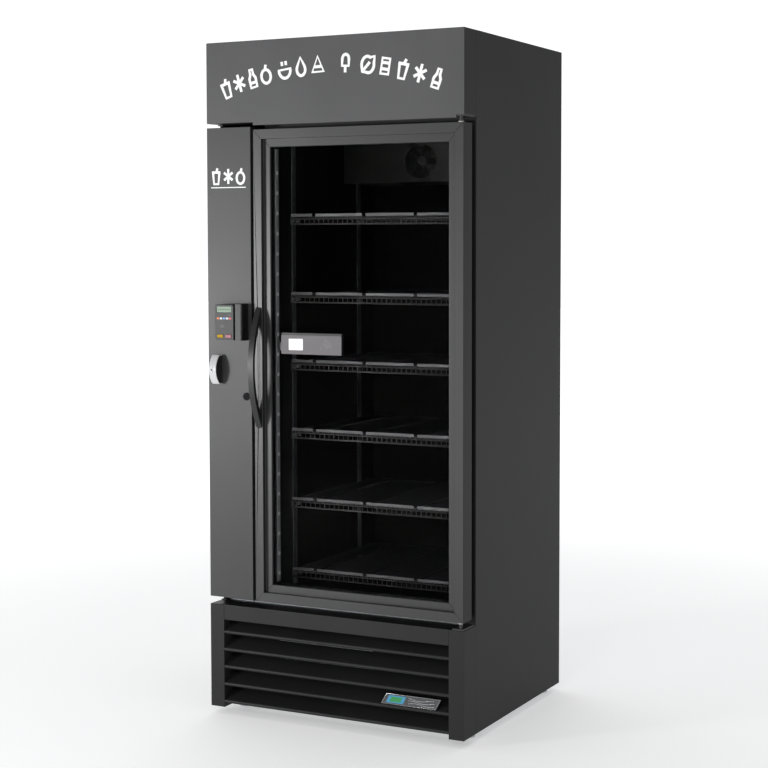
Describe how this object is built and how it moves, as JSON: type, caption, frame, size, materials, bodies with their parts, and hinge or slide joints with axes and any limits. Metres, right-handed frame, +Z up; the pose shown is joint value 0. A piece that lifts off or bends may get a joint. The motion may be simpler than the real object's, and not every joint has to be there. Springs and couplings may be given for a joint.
{
  "type": "reach in refrigerator",
  "caption": "Reach-in refrigerator with a framed glass door, wire shelves, louvred base grille, arched header panel and a card payment column on the left.",
  "frame": {"origin": "on the floor under the centre of the bounding box", "axes": "+X to the right seen from the front, +Y from the front to the rear, +Z up"},
  "size_m": [0.836, 0.766, 1.997],
  "materials": {
    "powder_black": "satin black powder coat",
    "galvanised": "galvanised sheet",
    "foam": "closed cell foam",
    "liner_enamel": "dark coated aluminium liner",
    "coil_fins": "bare aluminium fins",
    "jamb_plastic": "moulded black plastic",
    "rubber_black": "soft black gasket",
    "glass": "clear tempered glass",
    "led_lens": "milky lens",
    "shelf_wire": "black coated wire",
    "lane_plastic": "grey lane sheet",
    "zinc": "bright zinc plate",
    "brass": "turned brass",
    "black_plastic": "textured black ABS",
    "reader_grey": "satin dark grey",
    "lcd": "reflective display",
    "key_yellow": "moulded yellow",
    "key_red": "moulded red",
    "pod_white": "satin white",
    "bush_nylon": "natural nylon",
    "badge_grey": "dark badge",
    "compressor_black": "black enamel",
    "copper": "copper tube"
  },
  "bodies": {
    "cabinet": {"outer_panels": "powder_black", "rear_panels": "galvanised", "base_decks": "galvanised", "bay_partition": "powder_black", "foam_insulation": "foam", "inner_liner": "liner_enamel", "jamb_frame": "jamb_plastic", "header_box": "powder_black", "grille_frame": "powder_black", "grille_blades": "powder_black", "badge_plate": "badge_grey", "pivot_arms": "powder_black", "door_lock_body": "black_plastic", "controller_box": "black_plastic", "pilasters": "galvanised", "shelf_clips": "zinc", "wire_shelf_1": "shelf_wire", "wire_shelf_2": "shelf_wire", "wire_shelf_3": "shelf_wire", "wire_shelf_4": "shelf_wire", "wire_shelf_5": "shelf_wire", "wire_shelf_6": "shelf_wire", "lane_trays": "lane_plastic", "evaporator_cover": "jamb_plastic", "evaporator_unit": "coil_fins", "compressor": "compressor_black", "condenser_unit": "coil_fins", "refrigerant_line": "copper", "power_inlet": "black_plastic"},
    "door": {"door_stiles": "powder_black", "door_rails": "powder_black", "corner_keys": "galvanised", "door_handle": "powder_black", "handle_screws": "zinc", "glass_panes": "glass", "glass_spacer": "jamb_plastic", "door_gasket": "rubber_black", "led_strip": "led_lens", "hinge_bushes": "bush_nylon", "door_strike": "galvanised", "pay_bar_body": "black_plastic", "pay_bar_face": "reader_grey"},
    "column_panel": {"service_panel": "powder_black", "reader_case": "black_plastic", "reader_face": "reader_grey", "reader_display": "lcd", "swipe_rail": "black_plastic", "pod_body": "black_plastic", "pod_cover": "pod_white", "lock_barrel": "zinc"},
    "yellow_button": {"yellow_key": "key_yellow"},
    "red_button": {"red_key": "key_red"},
    "lock_plug": {"key_plug": "brass"},
    "lock_bolt": {"door_lock_bolt": "zinc"},
    "condenser_wheel": {"condenser_fan": "black_plastic"},
    "evaporator_wheel": {"evaporator_fan": "black_plastic"},
    "leveller_front_left": {"foot_front_left": "zinc"},
    "leveller_front_right": {"foot_front_right": "zinc"},
    "leveller_rear_left": {"foot_rear_left": "zinc"},
    "leveller_rear_right": {"foot_rear_right": "zinc"}
  },
  "joints": [
    {"name": "door_swing", "type": "hinge", "parent": "cabinet", "child": "door", "pos_m": [0.403, -0.323, 1.022], "axis": [0, 0, 1], "range_deg": [0, 110]},
    {"name": "column_swing", "type": "hinge", "parent": "cabinet", "child": "column_panel", "pos_m": [-0.41, -0.269, 1.022], "axis": [0, 0, 1], "range_deg": [-100, 0]},
    {"name": "yellow_press", "type": "slide", "parent": "column_panel", "child": "yellow_button", "axis": [0, 1, 0], "range_m": [0, 0.002], "stiffness_N_per_m": 400},
    {"name": "red_press", "type": "slide", "parent": "column_panel", "child": "red_button", "axis": [0, 1, 0], "range_m": [0, 0.002], "stiffness_N_per_m": 400},
    {"name": "lock_turn", "type": "hinge", "parent": "column_panel", "child": "lock_plug", "pos_m": [-0.286, -0.335, 0.96], "axis": [0, 1, 0], "range_deg": [0, 90]},
    {"name": "bolt_slide", "type": "slide", "parent": "cabinet", "child": "lock_bolt", "axis": [-1, 0, 0], "range_m": [0, 0.012]},
    {"name": "condenser_spin", "type": "hinge", "parent": "cabinet", "child": "condenser_wheel", "pos_m": [-0.108, -0.123, 0.151], "axis": [0, 1, 0], "continuous": true},
    {"name": "evaporator_spin", "type": "hinge", "parent": "cabinet", "child": "evaporator_wheel", "pos_m": [0.077, 0.099, 1.659], "axis": [0, 1, 0], "continuous": true},
    {"name": "level_front_left", "type": "hinge", "parent": "cabinet", "child": "leveller_front_left", "pos_m": [-0.373, -0.211, 0.022], "axis": [0, 0, 1], "continuous": true},
    {"name": "level_front_right", "type": "hinge", "parent": "cabinet", "child": "leveller_front_right", "pos_m": [0.373, -0.211, 0.022], "axis": [0, 0, 1], "continuous": true},
    {"name": "level_rear_left", "type": "hinge", "parent": "cabinet", "child": "leveller_rear_left", "pos_m": [-0.373, 0.338, 0.022], "axis": [0, 0, 1], "continuous": true},
    {"name": "level_rear_right", "type": "hinge", "parent": "cabinet", "child": "leveller_rear_right", "pos_m": [0.373, 0.338, 0.022], "axis": [0, 0, 1], "continuous": true}
  ]
}
